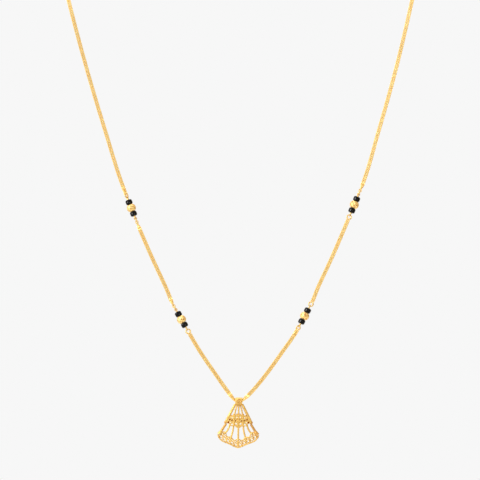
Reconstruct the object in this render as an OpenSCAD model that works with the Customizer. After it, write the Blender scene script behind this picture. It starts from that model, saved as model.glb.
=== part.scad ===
// Mangalsutra: two fine chain strands side by side, four groups of black and gold beads,
// and an open-work fan pendant. Millimetres, Z up, the wearer faces -Y.
// The origin is the nape of the neck, where the clasp lies.

/* [Chain] */
// Diameter of one chain strand
strand_d = 0.7; // [0.56:0.02:0.7]
// Distance between the centres of the two strands
strand_pitch = 0.81; // [0.81:0.01:0.84]
// Diameter of the middle of a jump ring's wire
ring_d = 1.8; // [1.8:0.05:2]
// Wire of a jump ring
ring_wire = 0.46; // [0.36:0.02:0.46]
// Diameter of the middle of the wire of a strand's end link
link_d = 1.18; // [1.18:0.02:1.22]
// Wire of a strand's end link
link_wire = 0.24; // [0.2:0.02:0.24]

/* [Beads] */
// Width of a black bead
black_d = 2.75; // [2.4:0.05:2.8]
// Length of a black bead along the wire
black_len = 2.02; // [1.8:0.02:2.1]
// Width of a gold ball
gold_d = 3.7; // [3.4:0.05:3.8]
// Length of a gold ball along the wire
gold_len = 2.78; // [2.6:0.02:2.9]
// Hole through a bead
bead_bore = 0.56; // [0.54:0.02:0.7]
// Bead wire
bead_wire = 0.32; // [0.26:0.02:0.32]
// Diameter of the middle of the wire of a bead wire's eye
eye_d = 1; // [1:0.02:1.06]
// Straight wire between the last bead and the eye
eye_stem = 0.37; // [0.3:0.01:0.5]
// Diameter of the wire's end wrapped round that stem
wrap_d = 0.72; // [0.6:0.02:0.8]
// Space between neighbouring pieces on a bead wire
bead_gap = 0.11; // [0.1:0.01:0.2]

/* [Pendant] */
// Width of the bail along the chain
bail_w = 2.8; // [2.4:0.1:2.9]
// Hole through the bail
bail_bore = 2.24; // [2.24:0.02:2.32]
// Wall of the bail
bail_wall = 0.36; // [0.32:0.02:0.4]
// Diameter of the outer bars of the fan
bar_d = 1.1; // [1:0.02:1.3]
// Diameter of the lower bars' flared ends
flare_d = 1.8; // [1.4:0.05:1.9]
// Width of the ribs
rib_w = 0.62; // [0.5:0.02:0.7]
// Width of the wires of the lace
lace_w = 0.46; // [0.4:0.02:0.56]
// Thickness of the ribs and of the lace, front to back
lace_t = 0.6; // [0.5:0.05:0.8]
// Thickness of the upper band, front to back
band_t = 0.7; // [0.6:0.05:0.8]

/* [Clasp] */
// Diameter of the middle of the wire of one bow of the clasp
hook_d = 3.6; // [3.4:0.1:4.2]
// Wire of the clasp
hook_wire = 0.6; // [0.5:0.05:0.6]

/* [Hidden] */

gold = "#f0b43c";
black = "#141414";
$fn = 48;

// The middle of the bail, which is the pendant's swing axis
bail = [-0.6, -96, -195.5];
// The chest leans back by this many degrees, so the front of the chain does too
lean = 8;
chest_down = [0, -sin(lean), -cos(lean)];
chest_out = [0, -cos(lean), sin(lean)];

// Bead groups: gold ball's x and z, slope off straight down towards +X,
// and the turn of the ring above and of the ring below, 0 flat to the front and 90 edge on
//               x      z      slope  above  below
high_left =  [-43.9, -118.1,  21.5,    50,    90];
low_left =   [-23.6, -162.9,  29.5,    90,     0];
high_right = [ 45.9, -116.8, -22.5,    90,     0];
low_right =  [ 25.8, -161.5, -28,       0,    35];

// Round the neck, from beside the clasp to above the collar bone, left and right alike: x, y, z
neck_way = [
    [24.5, -4, -0.6],
    [45.5, -14.5, -3],
    [62.5, -32, -8],
    [70.5, -52, -15.5],
    [71.6, -66.5, -25]
];
// Down the front, x and z
upper_left_way = [[-69.7, -33.7], [-62.7, -59.8], [-54.9, -85.8]];
upper_right_way = [[69.7, -33.7], [63.5, -59.8], [56.2, -85.8]];
side_left_way = [[-35.8, -137.4], [-29.8, -150.3]];
side_right_way = [[37.1, -137.4], [31.1, -150.3]];
lower_left_way = [[-16, -175.9], [-9.4, -185.5], [-4.9, -191.8]];
lower_right_way = [[16.8, -175.9], [9.8, -185.5], [4.5, -191.8]];

// The pair turns through the bail on this radius, from and to these slopes
turn_r = 2.6;
turn_in = 46;
turn_out = 42;
turn_steps = 8;
// Height of the pair above the middle of the bail's hole
turn_lift = -0.12;
// How far the pair is turned on edge inside the bail
bail_twist = 75;
// Length in which the pair turns from flat to a ring's turn, and to the bail's
ring_twist_len = 3.2;
bail_twist_len = 4.5;
// Rings of a strand's tube stand this far apart, and closer where the pair turns
tube_step = 6;
tube_step_fine = 1;
tube_sides = 8;

strand_r = strand_d / 2;
ring_r = ring_d / 2;
link_r = link_d / 2;
eye_r = eye_d / 2;
bead_step = gold_len / 2 + bead_gap + black_len / 2;
beads_end = bead_step + black_len / 2;
eye_at = beads_end + eye_stem + eye_r + bead_wire / 2;
ring_at = eye_at + ring_r;
// An end link's middle lies this far inside the middle of the ring's wire
link_inset = 0.04;
link_reach = sqrt(pow(ring_r, 2) - pow(strand_pitch / 2, 2)) - link_inset;
link_at = ring_at + link_reach;
tube_start = link_r - 0.02;
clasp_gap = 0.11;
nape_ring_x = hook_d - hook_wire / 2 - clasp_gap - ring_wire / 2 + ring_r;
nape_link_x = nape_ring_x + link_reach;

function unit(v) = v / norm(v);
function ease(t) = let (c = min(1, max(0, t))) c * c * (3 - 2 * c);
function reversed(list) = [for (i = [len(list) - 1 : -1 : 0]) list[i]];
function sum_to(list, n) = n <= 0 ? 0 : list[n - 1] + sum_to(list, n - 1);

// A point of the chest at this x and z
function on_chest(p) = [p.x, bail.y + (p.y - bail.z) * tan(lean), p.y];

function group_middle(g) = on_chest([g[0], g[1]]);
function group_down(g) = sin(g[2]) * [1, 0, 0] + cos(g[2]) * chest_down;
function group_point(g, along) = group_middle(g) + group_down(g) * along;

// The way out from the body: away from the neck at the back, and forwards on the chest
function outwards(p) =
    let (neck = unit([p.x / 72, (p.y + 40) / 40, 0]))
    unit(neck + ease((-8 - p.z) / 26) * (chest_out - neck));
function flat_side(p, along) = unit(cross(along, outwards(p)));
// The line from one strand to the other, turned out of the flat by an angle
function pair_side(p, along, turn) =
    let (side = flat_side(p, along))
    cos(turn) * side + sin(turn) * cross(side, along);

// Knots of a route: each is a point and the direction of the route there
function way_knots(points, first, last) = [
    for (i = [0 : len(points) - 1])
        [points[i], i == 0 ? first : i == len(points) - 1 ? last : unit(points[i + 1] - points[i - 1])]
];
function spans(knots) = [for (i = [0 : len(knots) - 2]) norm(knots[i + 1][0] - knots[i][0])];
function span_at(lengths, s, i = 0) =
    i >= len(lengths) - 1 || s <= sum_to(lengths, i + 1) ? i : span_at(lengths, s, i + 1);

// Point and direction at a length along the knots, on a cubic between each two
function route_at(knots, lengths, s) =
    let (
        i = span_at(lengths, s),
        span = lengths[i],
        t = (s - sum_to(lengths, i)) / span,
        a = knots[i],
        b = knots[i + 1],
        point = (2 * t * t * t - 3 * t * t + 1) * a[0] + (t * t * t - 2 * t * t + t) * span * a[1]
            + (3 * t * t - 2 * t * t * t) * b[0] + (t * t * t - t * t) * span * b[1],
        along = (6 * t * t - 6 * t) * (a[0] - b[0]) / span + (3 * t * t - 4 * t + 1) * a[1]
            + (3 * t * t - 2 * t) * b[1]
    )
    [point, unit(along)];

// The tube's ring places from one length to another, about a step apart
function places(from, to, step) =
    let (n = max(1, round((to - from) / step)))
    [for (i = [0 : n - 1]) from + (to - from) * i / n];

function nape_start(hand) = [hand * nape_link_x, 0, 0];
function upper_knots(hand, way, g) = way_knots(
    concat(
        [nape_start(hand)],
        [for (p = neck_way) [hand * p.x, p.y, p.z]],
        [for (p = way) on_chest(p)],
        [group_point(g, -link_at)]
    ),
    [hand, 0, 0],
    group_down(g)
);
function side_knots(way, g_above, g_below) = way_knots(
    concat([group_point(g_above, link_at)], [for (p = way) on_chest(p)], [group_point(g_below, -link_at)]),
    group_down(g_above),
    group_down(g_below)
);
turn_low = bail + [0, 0, turn_lift];
function turn_point(a) = turn_low + turn_r * (sin(a) * [1, 0, 0] - (1 - cos(a)) * chest_down);
function turn_along(a) = cos(a) * [1, 0, 0] - sin(a) * chest_down;
turn_knots = [
    for (i = [0 : turn_steps])
        let (a = -turn_in + (turn_in + turn_out) * i / turn_steps)
        [turn_point(a), turn_along(a)]
];
lower_left_knots = way_knots(
    concat([group_point(low_left, link_at)], [for (p = lower_left_way) on_chest(p)], [turn_point(-turn_in)]),
    group_down(low_left),
    turn_along(-turn_in)
);
lower_right_knots = way_knots(
    concat(
        [turn_point(turn_out)],
        [for (p = reversed(lower_right_way)) on_chest(p)],
        [group_point(low_right, link_at)]
    ),
    turn_along(turn_out),
    -group_down(low_right)
);
lower_knots = concat(
    [for (i = [0 : len(lower_left_knots) - 2]) lower_left_knots[i]],
    turn_knots,
    [for (i = [1 : len(lower_right_knots) - 1]) lower_right_knots[i]]
);

// A strand section: its knots, the pair's turn at its start and at its end,
// and the length at which it passes the bail, or -1
function section_turn(section, s, total) =
    let (bail_s = section[3])
    section[1] * (1 - ease((s - tube_start) / ring_twist_len))
    + section[2] * (1 - ease((total - tube_start - s) / ring_twist_len))
    + (bail_s < 0 ? 0 : bail_twist * (1 - ease((abs(s - bail_s) - bail_w / 2) / bail_twist_len)));

bail_pass = sum_to(spans(lower_knots), len(lower_left_knots) - 1)
    + sum_to(spans(turn_knots), turn_steps) * turn_in / (turn_in + turn_out);

upper_left = [upper_knots(-1, upper_left_way, high_left), 90, high_left[3], -1];
upper_right = [upper_knots(1, upper_right_way, high_right), 90, high_right[3], -1];
side_left = [side_knots(side_left_way, high_left, low_left), high_left[4], low_left[3], -1];
side_right = [side_knots(side_right_way, high_right, low_right), high_right[4], low_right[3], -1];
lower = [lower_knots, low_left[4], -low_right[4], bail_pass];

// Ring places along a section, finer at both ends and round the bail
function section_places(section, total) =
    let (
        first = tube_start,
        last = total - tube_start,
        fine_from = first + ring_twist_len,
        fine_to = last - ring_twist_len,
        near_bail = bail_w / 2 + bail_twist_len,
        bail_s = section[3],
        turn_half = bail_w / 2 + 1
    )
    concat(
        places(first, fine_from, section[1] == 0 ? tube_step / 2 : tube_step_fine / 2),
        bail_s < 0
            ? places(fine_from, fine_to, tube_step)
            : concat(
                places(fine_from, bail_s - near_bail, tube_step),
                places(bail_s - near_bail, bail_s - turn_half, tube_step_fine),
                places(bail_s - turn_half, bail_s + turn_half, tube_step_fine / 2),
                places(bail_s + turn_half, bail_s + near_bail, tube_step_fine),
                places(bail_s + near_bail, fine_to, tube_step)
            ),
        places(fine_to, last, section[2] == 0 ? tube_step / 2 : tube_step_fine / 2),
        [last]
    );

// Centre of a strand of a section, the pair's direction and the pair's side, at a length
function strand_at(section, lengths, total, s, hand) =
    let (
        at = route_at(section[0], lengths, s),
        side = pair_side(at[0], at[1], section_turn(section, s, total))
    )
    [at[0] + hand * strand_pitch / 2 * side, at[1], side];

// A tube of flat facets through a row of rings, each a centre, a direction and a side
module tube(rings, r) {
    n = tube_sides;
    count = len(rings);
    points = [
        for (ring = rings)
            let (across = unit(ring[2]), up = unit(cross(ring[1], across)))
            for (k = [0 : n - 1])
                let (a = 360 * (k + 0.5) / n)
                ring[0] + r * (cos(a) * across + sin(a) * up)
    ];
    walls = [
        for (i = [0 : count - 2])
            for (k = [0 : n - 1])
                let (j = i * n, m = (k + 1) % n)
                for (face = [[j + k, j + m + n, j + m], [j + k, j + k + n, j + m + n]]) face
    ];
    ends = [[for (k = [0 : n - 1]) k], [for (k = [n - 1 : -1 : 0]) (count - 1) * n + k]];
    polyhedron(points = points, faces = concat(walls, ends), convexity = 6);
}

// Turns a shape's Z axis to a direction and moves it to a place
module set_at(place, axis) {
    translate(place)
        rotate([0, acos(axis.z / norm(axis)), atan2(axis.y, axis.x)])
            children();
}

module round_ring(r, wire) {
    rotate_extrude()
        translate([r, 0])
            circle(d = wire, $fn = 24);
}

module strand(section, hand) {
    lengths = spans(section[0]);
    total = sum_to(lengths, len(lengths));
    rings = [
        for (s = section_places(section, total)) strand_at(section, lengths, total, s, hand)
    ];
    color(gold) union() {
        tube(rings, strand_r);
        for (s = [0, total]) {
            end = strand_at(section, lengths, total, s, hand);
            set_at(end[0], end[2]) round_ring(link_r, link_wire);
        }
    }
}

// A jump ring between a bead wire's eye and the end links of a pair of strands
module jump_ring(place, along, turn) {
    side = pair_side(place, along, turn);
    color(gold) set_at(place, cross(along, side)) round_ring(ring_r, ring_wire);
}

module group_ring(g, end) {
    jump_ring(group_point(g, end * ring_at), group_down(g), end < 0 ? g[3] : g[4]);
}

module nape_ring(hand) {
    jump_ring([hand * nape_ring_x, 0, 0], [hand, 0, 0], 90);
}

// A straight wire through a bead group, with a wrapped stem and an eye at each end
module bead_wire_part(g) {
    down = group_down(g);
    reach = eye_at - eye_r;
    wrap_from = beads_end + bead_gap;
    wrap_len = reach + bead_wire / 4 - wrap_from;
    color(gold) union() {
        set_at(group_point(g, -reach), down) cylinder(d = bead_wire - 0.02, h = 2 * reach, $fn = 24);
        for (end = [-1, 1]) {
            at = group_point(g, end * eye_at);
            set_at(at, pair_side(at, down, end < 0 ? g[3] : g[4])) round_ring(eye_r, bead_wire);
            set_at(group_point(g, end * wrap_from), end * down) cylinder(d = wrap_d, h = wrap_len, $fn = 24);
        }
    }
}

// Half outline of a bead with rounded rims, from its hole outwards
function bead_outline(r, half, rim, bore) = concat(
    [[bore, -half]],
    [for (a = [-90 : 18 : 0]) [r - rim + rim * cos(a), -half + rim + rim * sin(a)]],
    [for (a = [0 : 18 : 90]) [r - rim + rim * cos(a), half - rim + rim * sin(a)]],
    [[bore, half]]
);

module black_bead(g, end) {
    rim = black_len / 3.3;
    color(black) set_at(group_point(g, end * bead_step), group_down(g))
        rotate_extrude()
            polygon(bead_outline(black_d / 2, black_len / 2, rim, bead_bore / 2));
}

// A round ball cut in flat-sided bands, with flat ends
module gold_ball(g) {
    r = gold_d / 2;
    half = gold_len / 2;
    color(gold) set_at(group_middle(g), group_down(g))
        rotate_extrude()
            polygon([
                [bead_bore / 2, -half], [0.65 * r, -half], [0.88 * r, -0.65 * half], [r, -0.23 * half],
                [r, 0.23 * half], [0.88 * r, 0.65 * half], [0.65 * r, half], [bead_bore / 2, half]
            ]);
}

// Two bows in one S, lying flat on the nape, each with a ball on its open end
module clasp() {
    bow_open = 50;
    color(gold) rotate([90, 0, 0]) union() {
        for (turn = [0, 180])
            rotate([0, 0, turn]) translate([-hook_d / 2, 0, 0]) {
                rotate_extrude(angle = 360 - bow_open)
                    translate([hook_d / 2, 0])
                        circle(d = hook_wire, $fn = 24);
                rotate([0, 0, -bow_open])
                    translate([hook_d / 2, 0, 0])
                        sphere(d = hook_wire + 0.2, $fn = 24);
            }
    }
}

// Pendant, in its own x and z from the middle of the bail

// The small ring on the bail's front: x and z
bail_eye = [0.1, 0.15];
// The fan's ribs spread from this height above the bail, one to each petal of the lace
fan_apex = 1.96;
petal_angles = [-20.2, -10.2, 0, 10.2, 20.2];
petal_joints = [-25.4, -15.2, -5.1, 5.1, 15.2, 25.4];
lace_end = 28;
// Distance of the rim and of the lace's upper edge from the apex, by the angle off straight down
rim_reach = [[0, 20.45], [5.1, 19.9], [10.2, 19.4], [15.2, 19.1], [20.2, 18.95], [25.4, 18.1], [28, 17.4]];
edge_reach = [[0, 17.1], [5.1, 17.7], [10.2, 16.6], [15.2, 16.8], [20.2, 15.4], [25.4, 16], [28, 16.4]];
rim_w = 0.6;
// Rings in each half petal, the large one by the rim and the small one above it:
// distance inside the rim's middle, outside diameter and hole
cell_rings = [[0.8, 1.36, 0.66], [1.85, 1.1, 0.36]];
// The outer petals' rings stand further in, by this much for each degree off straight down
cell_slant = 0.014;
// Outer bars, right side: the upper one, and the lower one with the start of its flare
upper_bar = [[1.4, -1.2], [4.95, -8.1]];
lower_bar = [[4.95, -9.1], [6.65, -11.75], [7.7, -13.4]];
bar_knob_d = 1.36;
bar_knob_x = 5.1;
// The fan hangs askew by this many degrees, its right side lower
askew = 1;
// Ribs, right side, from the collar to the band and from the band to the lace
upper_rib = [[0.5, -1.6], [0.95, -2.6], [1.35, -4.2], [1.65, -5.6]];
lower_ribs = [
    [[1.9, -9.4], [2.2, -12], [2.55, -13.4], [2.9, -14.6], [3.2, -16]],
    [[3.3, -9], [4, -11.1], [4.6, -12.1], [5.3, -12.9]]
];
// Ribs in front of the band, right side
band_rib = [[1.6, -5.5], [1.85, -7.5], [1.95, -9.7]];
// Upper band: its upper edge, right side, and its scallops: middle x and z, and radius
band_top = [[1.9, -5.3], [4, -6.5], [5.2, -7.8]];
band_low = [[4.3, -8.6], [3.3, -9], [1.7, -9.4]];
scallops = [[0, -9, 1.7], [2.45, -8.7, 1.35], [4.1, -7.9, 1]];
// Holes through the upper band, right side: x, z and diameter
band_holes = [
    [0.65, -6.4, 0.5], [0.9, -9, 0.7], [2.5, -6.6, 0.5], [2.55, -9.3, 0.7], [3.3, -8.5, 0.5]
];
// Pits in the front of the band, right side: x, z and diameter
band_pits = [
    [0.6, -7.2, 0.4], [1.15, -7.9, 0.55], [2.55, -7.6, 0.6], [3.45, -7.35, 0.7], [4, -8.45, 0.86]
];
// Beads along the band's upper edge, right side: x, z and diameter
band_beads = [
    [0.62, -5.15, 0.6], [1.85, -5.35, 0.8], [2.9, -5.75, 0.6], [3.6, -6.15, 0.6], [4.3, -6.7, 0.7]
];
// The band stands this far in front of the ribs, and the fan this far behind the bail's middle
band_front = 0.32;
fan_back = 0.1;

function ray(angle, reach) = [reach * sin(angle), fan_apex - reach * cos(angle)];
function rim_point(angle, inset = 0) = ray(angle, lookup(abs(angle), rim_reach) - inset);
function edge_point(angle) = ray(angle, lookup(abs(angle), edge_reach));

// A flat wire of even width through points, as one outline
function ribbon(points, w) =
    let (
        last = len(points) - 1,
        sides = [
            for (i = [0 : last])
                let (d = unit(points[min(i + 1, last)] - points[max(i - 1, 0)]))
                [-d.y, d.x] * w / 2
        ]
    )
    concat(
        [for (i = [0 : last]) points[i] + sides[i]],
        [for (i = [last : -1 : 0]) points[i] - sides[i]]
    );
function mirrored(points) = [for (p = points) [-p.x, p.y]];

// Stands a flat shape up in the pendant's plane, with its middle this far behind the bail's
module upright(thick, back) {
    translate([0, back, 0])
        rotate([90, 0, 0])
            linear_extrude(height = thick, center = true)
                children();
}

// A straight round bar between two points of the pendant's plane, with a ball on its first end
module bar(a, b, d_a, d_b) {
    from = [a.x, fan_back, a.y];
    to = [b.x, fan_back, b.y];
    set_at(from, to - from) cylinder(d1 = d_a, d2 = d_b, h = norm(to - from), $fn = 32);
    translate(from) sphere(d = d_a + 0.02, $fn = 32);
}

module knot(x, z, d, back) {
    translate([x, back, z]) sphere(d = d, $fn = 24);
}

// The bail: a barrel with round lips, and a small ring on a disc on its front, with a grain in it
module pendant_bail() {
    half = bail_w / 2;
    r = bail_bore / 2;
    lip = bail_wall / 2;
    rotate([0, 90, 0]) rotate_extrude()
        polygon(concat(
            [for (a = [-180 : 30 : 0]) [r + lip + lip * cos(a), -half + lip + lip * sin(a)]],
            [[r + bail_wall + 0.06, 0]],
            [for (a = [0 : 30 : 180]) [r + lip + lip * cos(a), half - lip + lip * sin(a)]]
        ));
    front = -(r + bail_wall + 0.06);
    translate([bail_eye.x, front, bail_eye.y]) rotate([90, 0, 0]) {
        round_ring(0.74, 0.32);
        translate([0, 0, -0.38]) cylinder(d = 1.5, h = 0.3, $fn = 32);
    }
    knot(bail_eye.x, bail_eye.y, 0.5, front);
}

// Plate under the bail, with a cheek beside each of the bail's lips and a bar across its front
module pendant_collar() {
    top_z = -(bail_bore / 2 + bail_wall / 2);
    lip_x = bail_w / 2;
    upright(0.9, fan_back)
        polygon([[-1.4, top_z], [1.4, top_z], [1.7, -1.5], [0.7, -1.85], [-0.7, -1.85], [-1.7, -1.5]]);
    for (hand = [-1, 1])
        upright(0.5, fan_back)
            polygon([
                [hand * (lip_x - 0.04), -1], [hand * (lip_x + 0.06), -1],
                [hand * (lip_x + 0.34), -1.42], [hand * (lip_x - 0.04), -1.62]
            ]);
    translate([-1.15, -1, -1.05]) rotate([0, 90, 0]) cylinder(d = 0.4, h = 2.3, $fn = 24);
}

module pendant_bars() {
    for (way = [upper_bar, mirrored(upper_bar)])
        bar(way[0], way[1], bar_d, bar_d);
    lower_d = bar_d - 0.06;
    for (way = [lower_bar, mirrored(lower_bar)]) {
        bar(way[0], way[1], lower_d, lower_d);
        bar(way[1], way[2], lower_d, flare_d);
    }
    for (hand = [-1, 1])
        knot(hand * bar_knob_x, -8.5, bar_knob_d, fan_back);
}

module pendant_ribs() {
    upright(lace_t, fan_back) {
        polygon(ribbon([[0, -1.6], [0, -6]], rib_w - 0.1));
        polygon(ribbon([[0, -9.6], rim_point(0)], rib_w + 0.1));
        for (way = [upper_rib, mirrored(upper_rib)])
            polygon(ribbon(way, rib_w - 0.1));
        for (rib = lower_ribs)
            for (way = [rib, mirrored(rib)])
                polygon(ribbon(way, rib_w));
    }
}

module band_rounds(list) {
    for (hand = [-1, 1])
        for (round_at = list)
            translate([hand * round_at.x, round_at.y]) circle(d = round_at.z, $fn = 20);
}

// Upper band: a cut plate in front of the ribs, with beads along its upper edge
module pendant_band() {
    back = fan_back - band_front;
    difference() {
        upright(band_t, back) difference() {
            union() {
                polygon(concat(band_top, band_low, mirrored(reversed(band_low)), mirrored(reversed(band_top))));
                for (hand = [-1, 1])
                    for (s = scallops)
                        translate([hand * s.x, s.y]) circle(r = s.z, $fn = 40);
            }
            band_rounds(band_holes);
        }
        upright(band_t, back - band_t / 2) band_rounds(band_pits);
    }
    upright(0.4, back - band_t / 2)
        for (way = [[[0, -5.3], [0, -10.3]], band_rib, mirrored(band_rib)])
            polygon(ribbon(way, lace_w));
    for (hand = [-1, 1])
        for (bead = band_beads)
            knot(hand * bead.x, bead.y, bead.z, back);
}

// Lace: a rim, a wavy upper edge, walls between petals, and a small ring in each half petal
module pendant_lace() {
    steps = [
        -lace_end, -25.4, -20.2, -15.2, -10.2, -5.1, 0, 5.1, 10.2, 15.2, 20.2, 25.4, lace_end
    ];
    upright(lace_t + 0.1, fan_back)
        polygon(ribbon([for (a = steps) rim_point(a)], rim_w));
    upright(lace_t, fan_back) {
        polygon(ribbon([for (a = steps) edge_point(a)], lace_w));
        for (a = petal_angles)
            if (a != 0) polygon(ribbon([edge_point(a), rim_point(a)], lace_w));
        for (a = petal_joints)
            polygon(ribbon([edge_point(a), rim_point(a)], lace_w * 0.9));
    }
    for (a = petal_angles)
        for (half = [-1, 1])
            for (cell = cell_rings)
                let (p = rim_point(a + half * 2.6, cell[0] + cell_slant * abs(a)))
                    upright(lace_t - 0.06, fan_back)
                        translate(p) difference() {
                            circle(d = cell[1], $fn = 32);
                            circle(d = cell[2], $fn = 24);
                        }
    for (a = petal_joints)
        let (p = rim_point(a))
            knot(p.x, p.y, 0.8, fan_back);
    for (a = petal_angles)
        let (p = ray(a, lookup(abs(a), edge_reach) + 0.35))
            knot(p.x, p.y, 0.9, fan_back);
}

module pendant() {
    color(gold) translate(bail) union() {
        pendant_bail();
        rotate([0, askew, 0]) {
            pendant_collar();
            pendant_bars();
            pendant_ribs();
            pendant_band();
            pendant_lace();
        }
    }
}

strand(upper_left, 1);  // upper_left_front
strand(upper_left, -1);  // upper_left_back
strand(upper_right, 1);  // upper_right_front
strand(upper_right, -1);  // upper_right_back
strand(side_left, 1);  // side_left_front
strand(side_left, -1);  // side_left_back
strand(side_right, 1);  // side_right_front
strand(side_right, -1);  // side_right_back
strand(lower, 1);  // lower_front
strand(lower, -1);  // lower_back
nape_ring(-1);  // ring_nape_left
nape_ring(1);  // ring_nape_right
group_ring(high_left, -1);  // ring_high_left_top
group_ring(high_left, 1);  // ring_high_left_end
group_ring(low_left, -1);  // ring_low_left_top
group_ring(low_left, 1);  // ring_low_left_end
group_ring(high_right, -1);  // ring_high_right_top
group_ring(high_right, 1);  // ring_high_right_end
group_ring(low_right, -1);  // ring_low_right_top
group_ring(low_right, 1);  // ring_low_right_end
bead_wire_part(high_left);  // wire_high_left
bead_wire_part(low_left);  // wire_low_left
bead_wire_part(high_right);  // wire_high_right
bead_wire_part(low_right);  // wire_low_right
gold_ball(high_left);  // ball_high_left
gold_ball(low_left);  // ball_low_left
gold_ball(high_right);  // ball_high_right
gold_ball(low_right);  // ball_low_right
black_bead(high_left, -1);  // bead_high_left_1
black_bead(high_left, 1);  // bead_high_left_2
black_bead(low_left, -1);  // bead_low_left_1
black_bead(low_left, 1);  // bead_low_left_2
black_bead(high_right, -1);  // bead_high_right_1
black_bead(high_right, 1);  // bead_high_right_2
black_bead(low_right, -1);  // bead_low_right_1
black_bead(low_right, 1);  // bead_low_right_2
pendant();
clasp();
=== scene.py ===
import math
from collections import namedtuple

import bpy
from mathutils import Matrix, Vector


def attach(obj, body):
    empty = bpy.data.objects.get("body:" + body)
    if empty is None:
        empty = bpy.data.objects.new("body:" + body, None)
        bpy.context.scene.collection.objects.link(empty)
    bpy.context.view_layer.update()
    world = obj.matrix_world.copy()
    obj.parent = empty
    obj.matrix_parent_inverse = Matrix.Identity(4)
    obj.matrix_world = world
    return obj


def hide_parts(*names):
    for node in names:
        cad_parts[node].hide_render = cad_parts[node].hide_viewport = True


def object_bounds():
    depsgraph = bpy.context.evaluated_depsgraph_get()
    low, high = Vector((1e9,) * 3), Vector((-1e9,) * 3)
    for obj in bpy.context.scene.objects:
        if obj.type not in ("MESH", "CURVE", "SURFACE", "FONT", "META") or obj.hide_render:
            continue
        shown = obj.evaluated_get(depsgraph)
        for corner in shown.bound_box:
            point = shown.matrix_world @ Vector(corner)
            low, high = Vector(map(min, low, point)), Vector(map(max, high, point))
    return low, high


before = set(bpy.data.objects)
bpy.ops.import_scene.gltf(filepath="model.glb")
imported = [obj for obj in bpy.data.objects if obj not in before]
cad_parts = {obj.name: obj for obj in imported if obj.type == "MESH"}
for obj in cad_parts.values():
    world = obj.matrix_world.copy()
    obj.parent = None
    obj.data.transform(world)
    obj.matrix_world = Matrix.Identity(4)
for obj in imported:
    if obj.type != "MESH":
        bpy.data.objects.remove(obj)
FRAME_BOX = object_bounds()

bl_info = {
    "name": "Mangalsutra with a fan pendant",
    "version": (1, 0, 0),
    "blender": (4, 5, 0),
    "location": "3D View > Sidebar > Mangalsutra",
    "description": "Chain links, beads, pendant and finishes of a gold mangalsutra",
    "category": "Object",
}

# Pieces are modelled in millimetres and then brought to metres
MM = 0.001

# Turns a thing that is made lying down so that it stands up and faces the front
UPRIGHT = (math.pi / 2, 0, 0)
X = Vector((1, 0, 0))
Y = Vector((0, 1, 0))
Z = Vector((0, 0, 1))

# The chain's route, in millimetres from the nape of the neck, with the wearer facing -Y
BAIL = Vector((-0.6, -96, -195.5))
# The chest leans back by this angle, so the front of the chain does too
LEAN = math.radians(8)
CHEST_DOWN = Vector((0, -math.sin(LEAN), -math.cos(LEAN)))
CHEST_OUT = Vector((0, -math.cos(LEAN), math.sin(LEAN)))

# A bead group: its ball's x and z, its slope off straight down, and the turn of the ring
# above and of the ring below, 0 flat to the front and 90 edge on
BeadGroup = namedtuple("BeadGroup", "x z slope above below")
HIGH_LEFT = BeadGroup(-43.9, -118.1, 21.5, 50, 90)
LOW_LEFT = BeadGroup(-23.6, -162.9, 29.5, 90, 0)
HIGH_RIGHT = BeadGroup(45.9, -116.8, -22.5, 90, 0)
LOW_RIGHT = BeadGroup(25.8, -161.5, -28, 0, 35)
GROUPS = {
    "high_left": HIGH_LEFT,
    "low_left": LOW_LEFT,
    "high_right": HIGH_RIGHT,
    "low_right": LOW_RIGHT,
}

# The neck's half width and depth, the z at which it starts to become the chest, and in how much height
NECK_HALF_WIDTH = 72
NECK_HALF_DEPTH = 40
NECK_BASE = -8
NECK_BLEND = 26
NECK_WAY = [(24.5, -4, -0.6), (45.5, -14.5, -3), (62.5, -32, -8), (70.5, -52, -15.5), (71.6, -66.5, -25)]
UPPER_WAYS = {
    "left": [(-69.7, -33.7), (-62.7, -59.8), (-54.9, -85.8)],
    "right": [(69.7, -33.7), (63.5, -59.8), (56.2, -85.8)],
}
SIDE_WAYS = {"left": [(-35.8, -137.4), (-29.8, -150.3)], "right": [(37.1, -137.4), (31.1, -150.3)]}
LOWER_LEFT_WAY = [(-16, -175.9), (-9.4, -185.5), (-4.9, -191.8)]
LOWER_RIGHT_WAY = [(16.8, -175.9), (9.8, -185.5), (4.5, -191.8)]

# The pair of strands turns through the bail on this radius, from and to these slopes
TURN_RADIUS = 2.6
TURN_IN = 46
TURN_OUT = 42
TURN_STEPS = 8
# The pair's height above the middle of the bail's hole
TURN_LIFT = -0.12
# How far the pair is turned on edge inside the bail
BAIL_TWIST = 75
# The lengths in which the pair turns to the bail's turn, and to a ring's
BAIL_TWIST_LENGTH = 4.5
RING_TWIST_LENGTH = 3.2

# The bail: its width along the chain, its hole and its wall, which is thicker at its middle by the bulge
BAIL_WIDTH = 2.8
BAIL_BORE = 2.24
BAIL_WALL = 0.36
BAIL_BULGE = 0.06
# The small ring on the bail's front: x and z
BAIL_EYE = (0.1, 0.15)

# The two strands side by side, their end links and the jump rings that hold them
STRAND_PITCH = 0.81
RING_RADIUS = 0.9
END_LINK_RADIUS = 0.59
END_LINK_WIRE = 0.24
# An end link's middle lies this far inside the middle of the ring's wire
LINK_INSET = 0.04
LINK_REACH = math.sqrt(RING_RADIUS ** 2 - (STRAND_PITCH / 2) ** 2) - LINK_INSET
# From the middle of a bead group to the middle of its rings, and of their end links
RING_AT = 5.45
LINK_AT = RING_AT + LINK_REACH
# From the nape to the middle of the ring on either side, and of its end links
NAPE_RING_X = 3.86
NAPE_LINK_X = NAPE_RING_X + LINK_REACH

# From the middle of a gold ball to the middle of a black bead
BEAD_STEP = 2.51
# A black bead's rims are rounded over this share of its length, and its hole's edges by this much
BEAD_ROUNDING = 1 / 3.3
BORE_ROUND = 0.08
# The edges between a gold ball's facets are this wide
FACET_EDGE = 0.02
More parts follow.
